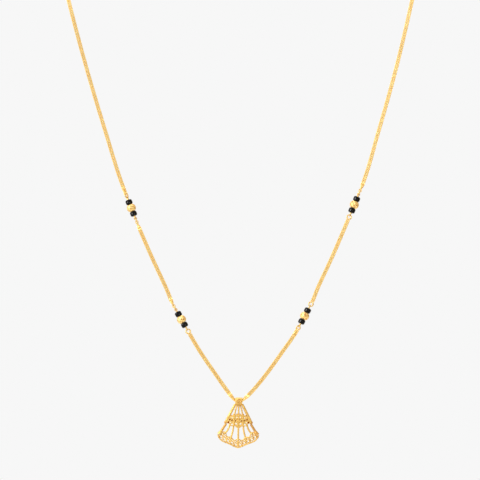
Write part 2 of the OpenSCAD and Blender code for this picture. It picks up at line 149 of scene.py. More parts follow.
# Each gold ball is turned by this much more on its wire than the one before
BALL_TURN = 37
GLASS_IOR = 1.24

# The pendant, in its own x and z from the middle of the bail, in millimetres. The fan's ribs spread
# from this height above the bail, one to each petal of the lace.
FAN_APEX = 1.96
PETAL_ANGLES = (-20.2, -10.2, 0, 10.2, 20.2)
PETAL_JOINTS = (-25.4, -15.2, -5.1, 5.1, 15.2, 25.4)
LACE_ANGLES = (-28, -25.4, -20.2, -15.2, -10.2, -5.1, 0, 5.1, 10.2, 15.2, 20.2, 25.4, 28)
# Distance of the rim and of the lace's upper edge from the apex, by the angle off straight down
RIM_REACH = [(0, 20.45), (5.1, 19.9), (10.2, 19.4), (15.2, 19.1), (20.2, 18.95), (25.4, 18.1), (28, 17.4)]
EDGE_REACH = [(0, 17.1), (5.1, 17.7), (10.2, 16.6), (15.2, 16.8), (20.2, 15.4), (25.4, 16), (28, 16.4)]
# Rings in each half petal: distance inside the rim, outside diameter and hole
CELL_RINGS = [(0.8, 1.36, 0.66), (1.85, 1.1, 0.36)]
# The rings stand this many degrees off their petal's middle, and the outer petals' further in, by this
# much for each degree off straight down
CELL_TURN = 2.6
CELL_SLANT = 0.014

# The outer bars, right side: the upper one, the lower one and its flared end, and the knob between them
UPPER_BAR = [(1.4, -1.2), (3.2, -4.7), (4.95, -8.1)]
LOWER_BAR = [(4.95, -9.1), (5.8, -10.42), (6.65, -11.75)]
FLARED_END = [(6.65, -11.75), (7.2, -12.61), (7.7, -13.4)]
BAR_KNOB = (5.1, -8.5, 1.36)
# The outer bars' thickness at each point, as shares of the bar's
UPPER_BAR_SWELL = (0.94, 1.03, 1)
LOWER_BAR_SWELL = (0.9, 0.92, 0.95)
# The flared end's thickness: at its start a share of the bar's, and at its middle a share of the flare's
FLARE_START = 0.95
FLARE_MIDDLE = 0.84
# The collar under the bail: half its width at the top, and its foot, right side
COLLAR_TOP = 1.4
COLLAR_FOOT = [(1.7, -1.5), (0.7, -1.85)]
COLLAR_THICKNESS = 0.9
COLLAR_ROUND = 0.12
# The cheek beside a lip of the bail: x from the lip, and z
CHEEK = [(-0.04, -1), (0.06, -1), (0.34, -1.42), (-0.04, -1.62)]
CHEEK_THICKNESS = 0.5
CHEEK_ROUND = 0.06
# The small bar across the collar's front
COLLAR_BAR = [(-1.15, -1.05), (0, -1.05), (1.15, -1.05)]
COLLAR_BAR_WIDTH = 0.4
COLLAR_BAR_FRONT = 1

# The ribs between the collar and the band are narrower by this
UPPER_RIB_LESS = 0.1
# The middle ribs above and below the band, and the others, right side
CENTRE_RIBS = [[(0, -1.6), (0, -4), (0, -6)], [(0, -9.6), (0, -14), (0, -18.4)]]
SIDE_RIBS = [
    [(0.5, -1.6), (0.95, -2.6), (1.35, -4.2), (1.65, -5.6)],
    [(1.9, -9.4), (2.2, -12), (2.55, -13.4), (2.9, -14.6), (3.2, -16)],
    [(3.3, -9), (4, -11.1), (4.6, -12.1), (5.3, -12.9)],
]
# The ribs in front of the band: the middle one and the right one
BAND_RIBS = [[(0, -5.3), (0, -7.8), (0, -10.3)], [(1.6, -5.5), (1.85, -7.5), (1.95, -9.7)]]
# The band's upper edge, right side
BAND_TOP = [(1.9, -5.3), (4, -6.5), (5.2, -7.8)]
# The band's lower edge: middle x and z, and radius of each scallop, right side
SCALLOPS = [(0, -9, 1.7), (2.45, -8.7, 1.35), (4.1, -7.9, 1)]
# Holes through the band, pits in its front and beads along its top, right side: x, z and diameter
BAND_HOLES = [(0.65, -6.4, 0.5), (0.9, -9, 0.7), (2.5, -6.6, 0.5), (2.55, -9.3, 0.7), (3.3, -8.5, 0.5)]
BAND_PITS = [(0.6, -7.2, 0.4), (1.15, -7.9, 0.55), (2.55, -7.6, 0.6), (3.45, -7.35, 0.7), (4, -8.45, 0.86)]
BAND_BEADS = [
    (0.62, -5.15, 0.6), (1.85, -5.35, 0.8), (2.9, -5.75, 0.6), (3.6, -6.15, 0.6), (4.3, -6.7, 0.7)
]
# A raised rim stands this far out round its hole, in wire this thick, sunk into the band by this much
PIT_RIM = 0.06
RIM_WIRE = 0.16
RIM_SUNK = 0.02
# The band stands this far in front of the ribs
BAND_FRONT = 0.32
BAND_ROUND = 0.06
BAND_RIB_DEPTH = 0.5

# The lace's rim is deeper than its wires by this, its petals' walls have this share of its wires'
# width, and its small rings are less deep by this
RIM_DEEPER = 0.1
WALL_SHARE = 0.9
CELL_LESS_DEEP = 0.06
# Knobs where two petals meet, and above the lace's upper edge, by this much
JOINT_KNOB = 0.8
EDGE_KNOB = 0.9
EDGE_KNOB_RAISED = 0.35
# The small grains along the rim: how many steps apart, to which angle on each side, and how far in front
GRAIN_STEPS = 24
GRAIN_REACH = 26.5
GRAIN_FRONT = 0.22
# The bail's small front ring: the radius of its wire's middle, its wire and the grain in it
EYE_RADIUS = 0.74
EYE_WIRE = 0.32
EYE_GRAIN = 0.5
# The disc that closes it: its width inside the rim, its thickness, and how far it lies behind
EYE_DISC = 1.38
EYE_DISC_THICKNESS = 0.3
EYE_DISC_BEHIND = 0.23
# How much painted shade these places get, from 0 to 1: red-brown painted into the gold where shade falls, and
# on the balls' facets as painted dark reflections
EYE_PAINTED_SHADE = 0.5
COLLAR_PAINTED_SHADE = 0.25
LOWER_BAR_PAINTED_SHADE = 0.4
RIGHT_END_PAINTED_SHADE = 0.35
GRAIN_PAINTED_SHADE = 0.35
FACET_DARK_REFLECTION = 0.85
# The fan lies this far behind the bail's middle, and hangs askew by this angle
FAN_BACK = 0.1
ASKEW = math.radians(1)

Place = namedtuple("Place", "middle along side size", defaults=[1])


def length(name, description, millimetres):
    """A setting for a length, whose default is given in millimetres."""
    return bpy.props.FloatProperty(
        name=name, description=description, default=millimetres * MM, unit="LENGTH"
    )


def colour(name, description, default):
    """A setting for a colour."""
    return bpy.props.FloatVectorProperty(
        name=name, description=description, default=default, subtype="COLOR", min=0, max=1
    )


def power(name, description, watts):
    """A setting for a light's power."""
    return bpy.props.FloatProperty(name=name, description=description, default=watts, min=0, unit="POWER")


class ChainSettings(bpy.types.PropertyGroup):
    """Sizes of the chain's links"""

    link_size: length("Link size", "Outside width and length of one box link", 0.79)
    strip_width: length("Strip width", "Width of the strip that a link is bent from", 0.5)
    strip_thickness: length("Strip thickness", "Thickness of the strip that a link is bent from", 0.115)
    link_pitch: length("Link pitch", "Distance from one link to the next", 0.372)


class BeadSettings(bpy.types.PropertyGroup):
    """Sizes of the beads"""

    black_width: length("Black bead width", "Width of a black glass bead", 2.75)
    black_length: length("Black bead length", "Length of a black glass bead along its wire", 2.02)
    gold_width: length("Gold ball width", "Width of a gold ball", 3.7)
    gold_length: length("Gold ball length", "Length of a gold ball along its wire", 2.78)
    bore: length("Bore", "Hole through a bead", 0.56)
    sides: bpy.props.IntProperty(
        name="Sides", description="Flat sides of a black bead", default=22, min=8, max=32
    )
    cuts: bpy.props.IntProperty(
        name="Cuts", description="Facets round a gold ball", default=15, min=8, max=20
    )


class PendantSettings(bpy.types.PropertyGroup):
    """Wires of the fan pendant"""

    bar_width: length("Bar", "Thickness of the outer bars", 1.1)
    flare: length("Flare", "Thickness of the lower bars at their flared ends", 1.8)
    rib_width: length("Rib", "Width of the ribs", 0.74)
    lace_width: length("Lace wire", "Width of the lace's wires", 0.46)
    wire_depth: length("Depth", "Depth of the ribs and of the lace's wires, front to back", 0.6)
    rim_width: length("Rim", "Width of the wire round the lace", 0.6)
    band_thickness: length("Band", "Thickness of the cut band, front to back", 0.7)
    grain_size: length("Grain", "Diameter of the small grains along the rim", 0.42)


class FinishSettings(bpy.types.PropertyGroup):
    """Colours of the gold and of the glass"""

    gold: colour("Gold", "Colour of the polished gold", (0.755, 0.545, 0.185))
    pale_gold: colour(
        "Pale gold",
        "Colour of the chain and of the cut balls, whose fine facets catch more light",
        (1, 0.785, 0.335),
    )
    warmth: colour(
        "Warmth", "Tint that the warmer patches of the gold are multiplied with", (0.97, 0.76, 0.5)
    )
    # Painted shade: the red-brown painted into the gold of the pendant's pits and shaded places, and of the
    # balls' dark facets
    stain: colour("Painted shade", "Red-brown of the pendant's pits", (0.4, 0.09, 0.02))
    glass: colour("Glass", "Colour of the black beads", (0.0007, 0.0006, 0.0006))
    polish: bpy.props.FloatProperty(
        name="Polish", description="Roughness of the polished gold", default=0.16, min=0, max=1,
        subtype="FACTOR",
    )


class StageSettings(bpy.types.PropertyGroup):
    """Floor, light and camera"""

    floor_colour: colour("Floor", "Colour of the floor", (0.78, 0.78, 0.78))
    backdrop: bpy.props.FloatProperty(
        name="Backdrop", description="Brightness of the plain space behind the jewel", default=0.93,
        min=0, max=2,
    )
    key_power: power("Key light", "Power of the soft light from the upper left", 1.2)
    side_power: power("Side light", "Power of the upright strip at the left", 3.8)
    fill_power: power("Fill light", "Power of the smaller upright strip at the right", 0.6)
    top_power: power("Top light", "Power of the soft light from above and behind", 1)


SETTINGS = {
    "mangalsutra_chain": ChainSettings,
    "mangalsutra_beads": BeadSettings,
    "mangalsutra_pendant": PendantSettings,
    "mangalsutra_finish": FinishSettings,
    "mangalsutra_stage": StageSettings,
}


def on_chest(x, z):
    """A point of the chest at this x and z."""
    return Vector((x, BAIL.y + (z - BAIL.z) * math.tan(LEAN), z))


def group_down(group):
    slope = math.radians(group.slope)
    return math.sin(slope) * X + math.cos(slope) * CHEST_DOWN


def group_point(group, along):
    """A point of a bead group's wire, this far below the middle of its ball."""
    return on_chest(group.x, group.z) + group_down(group) * along


def ease(t):
    t = min(1, max(0, t))
    return t * t * (3 - 2 * t)


def outwards(p):
    """The way out from the body: away from the neck at the back, and forwards on the chest."""
    neck = Vector((p.x / NECK_HALF_WIDTH, (p.y + NECK_HALF_DEPTH) / NECK_HALF_DEPTH, 0)).normalized()
    return (neck + ease((NECK_BASE - p.z) / NECK_BLEND) * (CHEST_OUT - neck)).normalized()


def pair_side(p, along, turn):
    """The line from one strand to the other, turned out of the flat by an angle."""
    side = along.cross(outwards(p)).normalized()
    turn = math.radians(turn)
    return math.cos(turn) * side + math.sin(turn) * side.cross(along)


def way_knots(points, first, last):
    """Knots of a route, each a point and the direction of the route there."""
    points = [Vector(p) for p in points]
    inner = [(b - a).normalized() for a, b in zip(points, points[2:])]
    return list(zip(points, [first, *inner, last]))


def route_at(knots, s):
    """Point and direction at a length along the knots, on a cubic between each two."""
    for (a, along_a), (b, along_b) in zip(knots, knots[1:]):
        span = (b - a).length
        if s <= span or b is knots[-1][0]:
            break
        s -= span
    t = s / span
    point = (
        (2 * t ** 3 - 3 * t ** 2 + 1) * a
        + (t ** 3 - 2 * t ** 2 + t) * span * along_a
        + (3 * t ** 2 - 2 * t ** 3) * b
        + (t ** 3 - t ** 2) * span * along_b
    )
    along = (
        (6 * t ** 2 - 6 * t) * (a - b) / span
        + (3 * t ** 2 - 4 * t + 1) * along_a
        + (3 * t ** 2 - 2 * t) * along_b
    )
    return point, along.normalized()


def knots_length(knots):
    return sum((b[0] - a[0]).length for a, b in zip(knots, knots[1:]))


def upper_knots(hand, way, group):
    points = [(hand * NAPE_LINK_X, 0, 0)]
    points += [(hand * x, y, z) for x, y, z in NECK_WAY]
    points += [on_chest(*p) for p in way]
    points.append(group_point(group, -LINK_AT))
    return way_knots(points, hand * X, group_down(group))


def side_knots(way, above, below):
    points = [group_point(above, LINK_AT), *(on_chest(*p) for p in way), group_point(below, -LINK_AT)]
    return way_knots(points, group_down(above), group_down(below))


def turn_knot(slope):
    """A knot of the arc through the bail, at this slope."""
    slope = math.radians(slope)
    middle = BAIL + TURN_LIFT * Z
    point = middle + TURN_RADIUS * (math.sin(slope) * X - (1 - math.cos(slope)) * CHEST_DOWN)
    return point, math.cos(slope) * X - math.sin(slope) * CHEST_DOWN


def lower_knots():
    """The route from the lower left group down, through the bail and up to the lower right group."""
    start, start_along = turn_knot(-TURN_IN)
    end, end_along = turn_knot(TURN_OUT)
    left = [group_point(LOW_LEFT, LINK_AT), *(on_chest(*p) for p in LOWER_LEFT_WAY), start]
    right = [end, *(on_chest(*p) for p in reversed(LOWER_RIGHT_WAY)), group_point(LOW_RIGHT, LINK_AT)]
    step = (TURN_IN + TURN_OUT) / TURN_STEPS
    arc = [turn_knot(-TURN_IN + step * i) for i in range(TURN_STEPS + 1)]
    return (
        way_knots(left, group_down(LOW_LEFT), start_along)[:-1]
        + arc
        + way_knots(right, end_along, -group_down(LOW_RIGHT))[1:]
    )


def bail_pass(knots):
    """The length along the lower route at which it passes the middle of the bail."""
    before = len(LOWER_LEFT_WAY) + 1
    arc = knots_length(knots[before:before + TURN_STEPS + 1])
    return knots_length(knots[:before + 1]) + arc * TURN_IN / (TURN_IN + TURN_OUT)


# A stretch of the pair: its knots, the pair's turn at its start and end, and where it passes the bail
Section = namedtuple("Section", "knots start_turn end_turn bail_at")


def sections():
    found = {}
    for hand, side in ((-1, "left"), (1, "right")):
        high = GROUPS[f"high_{side}"]
        found[f"upper_{side}"] = Section(upper_knots(hand, UPPER_WAYS[side], high), 90, high.above, None)
    for side, way in SIDE_WAYS.items():
        high, low = GROUPS[f"high_{side}"], GROUPS[f"low_{side}"]
        found[f"side_{side}"] = Section(side_knots(way, high, low), high.below, low.above, None)
    lower = lower_knots()
    found["lower"] = Section(lower, LOW_LEFT.below, -LOW_RIGHT.below, bail_pass(lower))
    return found


def section_turn(section, s, total):
    """The pair's turn out of the flat at a length along a section."""
    first = s - END_LINK_RADIUS
    last = total - END_LINK_RADIUS - s
    turn = section.start_turn * (1 - ease(first / RING_TWIST_LENGTH))
    turn += section.end_turn * (1 - ease(last / RING_TWIST_LENGTH))
    if section.bail_at is not None:
        from_bail = abs(s - section.bail_at) - BAIL_WIDTH / 2
        turn += BAIL_TWIST * (1 - ease(from_bail / BAIL_TWIST_LENGTH))
    return turn


def strand_place(section, s, hand):
    """Middle, direction and side of one strand of a section, at a length along it."""
    total = knots_length(section.knots)
    point, along = route_at(section.knots, s)
    side = pair_side(point, along, section_turn(section, s, total))
    return Place(point + hand * STRAND_PITCH / 2 * side, along, side)


def leave_edit_mode():
    if bpy.context.object and bpy.context.object.mode != "OBJECT":
        bpy.ops.object.mode_set(mode="OBJECT")


def select_nothing():
    leave_edit_mode()
    bpy.ops.object.select_all(action="DESELECT")


def add(operator, **values):
    """Adds one object by an operator and returns it."""
    select_nothing()
    operator(**values)
    return bpy.context.object


def hold_placement():
    """Holds the selected object's place, turn and size in its mesh."""
    bpy.ops.object.transform_apply(location=True, rotation=True, scale=True)


def pick(*pieces):
    """Selects these objects alone, the first one active."""
    select_nothing()
    for piece in pieces:
        piece.select_set(True)
    bpy.context.view_layer.objects.active = pieces[0]


def edit_where(piece, kind, test):
    """Goes to edit mode with the points, edges or faces selected that pass a test."""
    pick(piece)
    bpy.ops.object.mode_set(mode="EDIT")
    bpy.ops.mesh.select_mode(type=kind)
    bpy.ops.mesh.select_all(action="DESELECT")
    bpy.ops.object.mode_set(mode="OBJECT")
    mesh = piece.data
    items = {"VERT": mesh.vertices, "EDGE": mesh.edges, "FACE": mesh.polygons}[kind]
    for item in items:
        item.select = test(item)
    bpy.ops.object.mode_set(mode="EDIT")


def edge_ends(piece, edge):
    return [piece.data.vertices[i].co for i in edge.vertices]


def bevel_edges(piece, test, offset, segments):
    edit_where(piece, "EDGE", test)
    bpy.ops.mesh.bevel(offset=offset, segments=segments, affect="EDGES")
    leave_edit_mode()


def open_through(piece, axis, wall):
    """Makes a hole through a piece along Y or Z, which leaves a wall this thick."""
    edit_where(piece, "FACE", lambda face: abs(face.normal[axis]) > 0.5)
    bpy.ops.mesh.inset(thickness=wall)
    bpy.ops.mesh.bridge_edge_loops()
    leave_edit_mode()


def tidy_surface(piece, merge=0.0005):
    """Merges doubled points and turns every face outwards."""
    edit_where(piece, "VERT", lambda point: True)
    bpy.ops.mesh.remove_doubles(threshold=merge)
    bpy.ops.mesh.normals_make_consistent(inside=False)
    leave_edit_mode()


def smooth_below(piece, degrees):
    pick(piece)
    bpy.ops.object.shade_smooth_by_angle(angle=math.radians(degrees))


def apply_modifier(piece, kind, **values):
    pick(piece)
    modifier = piece.modifiers.new(kind.title(), kind)
    for name, value in values.items():
        setattr(modifier, name, value)
    bpy.ops.object.modifier_apply(modifier=modifier.name)


def join(pieces, name):
    pick(*pieces)
    if len(pieces) > 1:
        bpy.ops.object.join()
    piece = bpy.context.object
    piece.name = piece.data.name = name
    return piece


def own_copy(piece, name):
    """A copy of a piece with its own mesh."""
    copy = piece.copy()
    copy.data = piece.data.copy()
    copy.name = copy.data.name = name
    bpy.context.scene.collection.objects.link(copy)
    return copy


def discard(piece):
    mesh = piece.data
    bpy.data.objects.remove(piece)
    bpy.data.meshes.remove(mesh)


def placing(place):
    """The matrix that sets a piece's Z axis along a place and its X axis to the place's side."""
    across = place.along.cross(place.side).normalized()
    turn = Matrix((place.side, across, place.along)).transposed().to_4x4()
    return Matrix.Translation(place.middle) @ turn @ Matrix.Scale(place.size, 4)


def settle(piece, matrix=Matrix.Identity(4)):
    """Brings a piece modelled in millimetres to its place in metres, held in its mesh."""
    pick(piece)
    hold_placement()
    piece.data.transform(Matrix.Scale(MM, 4) @ matrix)
    if not piece.data.polygons:
        raise RuntimeError(f"{piece.name} has no faces")


def dress(piece, material, slot, body, *nodes):
    """Gives a piece its finish, its body and the solids that it stands for."""
    piece.data.materials.clear()
    piece.data.materials.append(material)
    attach(piece, body)
    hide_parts(*nodes)


def placing_group(item):
    """Geometry nodes that set an item on every point, turned by the point's own directions."""
    group = bpy.data.node_groups.new("Set on places", "GeometryNodeTree")
    group.interface.new_socket("Places", in_out="INPUT", socket_type="NodeSocketGeometry")
    group.interface.new_socket("Pieces", in_out="OUTPUT", socket_type="NodeSocketGeometry")
    nodes = group.nodes
    start = nodes.new("NodeGroupInput")
    end = nodes.new("NodeGroupOutput")
    info = nodes.new("GeometryNodeObjectInfo")
    info.inputs["Object"].default_value = item
    fields = {}
    for label, kind in (("along", "FLOAT_VECTOR"), ("side", "FLOAT_VECTOR"), ("size", "FLOAT")):
        fields[label] = nodes.new("GeometryNodeInputNamedAttribute")
        fields[label].data_type = kind
        fields[label].inputs["Name"].default_value = label
    turn = nodes.new("FunctionNodeAxesToRotation")
    turn.primary_axis = "Z"
    turn.secondary_axis = "X"
    set_on = nodes.new("GeometryNodeInstanceOnPoints")
    real = nodes.new("GeometryNodeRealizeInstances")
    link = group.links.new
    link(start.outputs["Places"], set_on.inputs["Points"])
    link(info.outputs["Geometry"], set_on.inputs["Instance"])
    link(fields["along"].outputs["Attribute"], turn.inputs["Primary Axis"])
    link(fields["side"].outputs["Attribute"], turn.inputs["Secondary Axis"])
    link(turn.outputs["Rotation"], set_on.inputs["Rotation"])
    link(fields["size"].outputs["Attribute"], set_on.inputs["Scale"])
    link(set_on.outputs["Instances"], real.inputs["Geometry"])
    link(real.outputs["Geometry"], end.inputs["Pieces"])
    return group


def set_on_places(item, places, name):
    """Copies of an item at many places, joined in one mesh."""
    mesh = bpy.data.meshes.new(name)
    mesh.from_pydata([place.middle for place in places], [], [])
    for label in ("along", "side"):
        field = mesh.attributes.new(label, "FLOAT_VECTOR", "POINT")
        field.data.foreach_set("vector", [c for place in places for c in getattr(place, label)])
    field = mesh.attributes.new("size", "FLOAT", "POINT")
    field.data.foreach_set("value", [place.size for place in places])
    piece = bpy.data.objects.new(name, mesh)
    bpy.context.scene.collection.objects.link(piece)
    group = placing_group(item)
    apply_modifier(piece, "NODES", node_group=group)
    bpy.data.node_groups.remove(group)
    for label in ("along", "side", "size"):
        if label in piece.data.attributes:
            piece.data.attributes.remove(piece.data.attributes[label])
    return piece


def model_box_link(settings):
    """One link of a box chain: a strip bent to a square, its hole along Y."""
    size = settings.link_size / MM
    width = settings.strip_width / MM
    thick = settings.strip_thickness / MM
    link = add(bpy.ops.mesh.primitive_cube_add, size=1, scale=(size, width, size))
    hold_placement()
    open_through(link, 1, thick)

    def outer_corner(edge):
        a, b = edge_ends(link, edge)
        across = abs(a.y - b.y) > width / 2
        return across and max(abs(a.x), abs(a.z)) > size / 2 - thick / 2

    bevel_edges(link, outer_corner, offset=thick * 1.1, segments=1)

    def outer_rim(edge):
        a, b = edge_ends(link, edge)
        level = abs(a.y - b.y) < width / 2
        return level and min(max(abs(a.x), abs(a.z)), max(abs(b.x), abs(b.z))) > size / 2 - thick / 2

    bevel_edges(link, outer_rim, offset=thick * 0.3, segments=1)
    tidy_surface(link)
    return link


def model_end_link():
    """The round link at the end of a strand, its axis along Z."""
    return add(
        bpy.ops.mesh.primitive_torus_add,
        major_radius=END_LINK_RADIUS, minor_radius=END_LINK_WIRE / 2, major_segments=28, minor_segments=10,
    )


def link_places(section, hand, pitch):
    """Places of a strand's box links, each turned by a quarter from the one before."""
    total = knots_length(section.knots)
    first = END_LINK_RADIUS
    last = total - END_LINK_RADIUS
    count = 2 * math.ceil((last - first) / pitch / 2)
    places = []
    for i in range(count + 1):
        place = strand_place(section, first + (last - first) * i / count, hand)
        if i % 2:
            place = place._replace(side=place.along.cross(place.side).normalized())
        places.append(place)
    return places


def end_link_places(section, hand):
    total = knots_length(section.knots)
    ends = [strand_place(section, s, hand) for s in (0, total)]
    return [Place(end.middle, end.side, end.along) for end in ends]


def lookup(table, angle):
    """A table's value at an angle, in a straight line between its rows."""
    angle = abs(angle)
    for (a, value_a), (b, value_b) in zip(table, table[1:]):
        if angle <= b:
            return value_a + (value_b - value_a) * (angle - a) / (b - a)
    return table[-1][1]


def ray(angle, reach):
    turn = math.radians(angle)
    return (reach * math.sin(turn), FAN_APEX - reach * math.cos(turn))


def rim_point(angle, inset=0):
    return ray(angle, lookup(RIM_REACH, angle) - inset)


def edge_point(angle, raised=0):
    return ray(angle, lookup(EDGE_REACH, angle) + raised)


def mirrored(points):
    return [(-p[0], *p[1:]) for p in points]


def draw_wire(points, width, depth=None, back=FAN_BACK, swell=None, pointed=False):
    """A wire through points of the pendant's plane, with closed ends."""
    wire = add(bpy.ops.curve.primitive_bezier_curve_add)
    curve = wire.data
    spline = curve.splines[0]
    spline.bezier_points.add(len(points) - 2)
    for i, knot in enumerate(spline.bezier_points):
        knot.co = (points[i][0], 0, points[i][1])
        knot.handle_left_type = knot.handle_right_type = "VECTOR" if pointed else "AUTO"
        knot.radius = swell[i] if swell else 1
    curve.bevel_depth = width / 2
    curve.bevel_resolution = 3
    curve.resolution_u = 5
    curve.use_fill_caps = True
    bpy.ops.object.convert(target="MESH")
    wire.scale.y = (depth or width) / width
    wire.location.y = back
    hold_placement()
    tidy_surface(wire)
    return wire


def set_outline(spline, points, handle):
    spline.bezier_points.add(len(points) - len(spline.bezier_points))
    for knot, point in zip(spline.bezier_points, points):
        knot.co = (point[0], point[1], 0)
        knot.handle_left_type = knot.handle_right_type = handle
        knot.radius = 1
    spline.use_cyclic_u = True


def cut_plate(outline, holes, thick, back, round_over):
    """An upright plate with round holes through it and rounded edges."""
    plate = add(bpy.ops.curve.primitive_bezier_curve_add, rotation=UPRIGHT)
    curve = plate.data
    curve.dimensions = "2D"
    curve.fill_mode = "BOTH"
    set_outline(curve.splines[0], outline, "VECTOR")
    for x, z, d in holes:
        ring = curve.splines.new("BEZIER")
        set_outline(ring, [(x + d / 2, z), (x, z + d / 2), (x - d / 2, z), (x, z - d / 2)], "AUTO")
    curve.resolution_u = 5
    curve.bevel_depth = round_over
    curve.bevel_resolution = 1
    curve.offset = -round_over
    curve.extrude = thick / 2 - round_over
    bpy.ops.object.convert(target="MESH")
    plate.location.y = back
    hold_placement()
    tidy_surface(plate)
    return plate


def ring_wire(x, z, middle_radius, wire, back, depth=None):
    """A small upright ring in the pendant's plane."""
    ring = add(
        bpy.ops.mesh.primitive_torus_add,
        major_radius=middle_radius, minor_radius=wire / 2, major_segments=20, minor_segments=8,
        location=(x, back, z), rotation=UPRIGHT,
    )
    ring.scale.z = (depth or wire) / wire
    hold_placement()
    return ring


def model_grain():
    """A round grain, 1 across."""
    return add(bpy.ops.mesh.primitive_uv_sphere_add, segments=14, ring_count=9, radius=0.5)


def spin_profile(profile, axis):
    """A closed outline turned once round an axis through the middle."""
    piece = add(bpy.ops.mesh.primitive_circle_add, vertices=len(profile), fill_type="NOTHING")
    for point, place in zip(piece.data.vertices, profile):
        point.co = place
    edit_where(piece, "VERT", lambda point: True)
    bpy.ops.mesh.spin(steps=48, angle=2 * math.pi, center=(0, 0, 0), axis=axis)
    tidy_surface(piece)
    return piece


def model_bail():
    """The pendant's bail: a barrel with round lips, and a small ring and grain on its front."""
    lip = BAIL_WALL / 2
    end = BAIL_WIDTH / 2 - lip
    middle = BAIL_BORE / 2 + lip
    outer = BAIL_BORE / 2 + BAIL_WALL
    turns = [math.pi * step / 8 for step in range(9)]
    right = [(end + lip * math.sin(t), 0, middle - lip * math.cos(t)) for t in turns]
    shoulder = outer + BAIL_BULGE / 3
    waist = [(end / 2, 0, shoulder), (0, 0, outer + BAIL_BULGE), (-end / 2, 0, shoulder)]
    left = [(-x, y, z) for x, y, z in reversed(right)]
    barrel = spin_profile(right + waist + left, X)
    x, z = BAIL_EYE
    front = -(outer + BAIL_BULGE)
    # The small ring on the bail gets painted shade
    eye = stain(ring_wire(x, z, EYE_RADIUS, EYE_WIRE, front), EYE_PAINTED_SHADE)
    disc = pit_floor(x, z, EYE_DISC, front + EYE_DISC_BEHIND, EYE_DISC_THICKNESS)
    return [barrel, eye, disc], [Place(Vector((x, front, z)), Z, X, EYE_GRAIN)]


def stain(piece, amount):
    """Marks a whole piece with painted shade by this much, which its finish paints in as red-brown."""
    field = piece.data.attributes.new("stain", "FLOAT", "POINT")
    field.data.foreach_set("value", [amount] * len(piece.data.vertices))
    return piece


def scalloped_edge():
    """The band's lower edge, from right to left, from its scallops."""
    points = []
    steps = 60
    reach = 5.1
    for i in range(steps + 1):
        x = reach - 2 * reach * i / steps
        depths = [
            z - math.sqrt(r * r - (abs(x) - cx) ** 2)
            for cx, z, r in SCALLOPS
            if abs(abs(x) - cx) <= r
        ]
        points.append((x, min(depths)))
    return points


class MANGALSUTRA_OT_chain(bpy.types.Operator):
    """Makes the paired strands of the chain from box links"""

    bl_idname = "mangalsutra.chain"
    bl_label = "Chain strands"
    bl_options = {"REGISTER", "UNDO"}

    def execute(self, context):
        settings = context.scene.mangalsutra_chain
        finish = context.scene.mangalsutra_finish
        material = gold_finish("chain_gold", finish, finish.pale_gold, rougher=0.1, patch=0.0012)
        box_link = model_box_link(settings)
        end_link = model_end_link()
        for name, section in sections().items():
            for label, hand in (("front", 1), ("back", -1)):
                node = f"{name}_{label}"
                places = link_places(section, hand, settings.link_pitch / MM)
                links = set_on_places(box_link, places, "links")
                ends = set_on_places(end_link, end_link_places(section, hand), "ends")
                strand = join([links, ends], f"strand_{node}")
                settle(strand)
                smooth_below(strand, 35)
                dress(strand, material, "chain_gold", "necklace", node)
        discard(box_link)
        discard(end_link)
        return {"FINISHED"}


class MANGALSUTRA_OT_fittings(bpy.types.Operator):
    """Finishes the jump rings, the bead wires and the clasp"""

    bl_idname = "mangalsutra.fittings"
    bl_label = "Rings, wires and clasp"
    bl_options = {"REGISTER", "UNDO"}

    def execute(self, context):
        finish = context.scene.mangalsutra_finish
        material = gold_finish("wire_gold", finish, finish.gold, rougher=0.02, patch=0.0015)
        fittings = [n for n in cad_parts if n.startswith(("ring_", "wire_", "clasp"))]
        if not fittings:
            raise RuntimeError("The frame has no rings, wires or clasp")
        for name in fittings:
            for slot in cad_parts[name].material_slots:
                slot.material = material
        return {"FINISHED"}


class MANGALSUTRA_OT_gold_balls(bpy.types.Operator):
    """Makes the diamond-cut gold balls"""

    bl_idname = "mangalsutra.gold_balls"
    bl_label = "Gold balls"
    bl_options = {"REGISTER", "UNDO"}

    def execute(self, context):
        finish = context.scene.mangalsutra_finish
        duller = [0.93 * c for c in finish.pale_gold]
        material = gold_finish("cut_gold", finish, duller, rougher=0.16, patch=0.003)
        ball = model_cut_ball(context.scene.mangalsutra_beads)
        for number, (name, group) in enumerate(GROUPS.items()):
            down = group_down(group)
            middle = group_point(group, 0)
            copy = own_copy(ball, f"cut_ball_{name}")
            settle(copy, placing(Place(middle, down, pair_side(middle, down, BALL_TURN * number))))
            dress(copy, material, "cut_gold", "necklace", f"ball_{name}")
        discard(ball)
        return {"FINISHED"}


class MANGALSUTRA_OT_black_beads(bpy.types.Operator):
    """Makes the black glass beads"""

    bl_idname = "mangalsutra.black_beads"
    bl_label = "Black beads"
    bl_options = {"REGISTER", "UNDO"}

    def execute(self, context):
        material = glass_finish("black_bead", context.scene.mangalsutra_finish)
        bead = model_black_bead(context.scene.mangalsutra_beads)
        for name, group in GROUPS.items():
            down = group_down(group)
            for number, end in ((1, -1), (2, 1)):
                middle = group_point(group, end * BEAD_STEP)
                copy = own_copy(bead, f"glass_bead_{name}_{number}")
                settle(copy, placing(Place(middle, down, pair_side(middle, down, 0))))
                smooth_below(copy, 15)
                dress(copy, material, "black_bead", "necklace", f"bead_{name}_{number}")
        discard(bead)
        return {"FINISHED"}


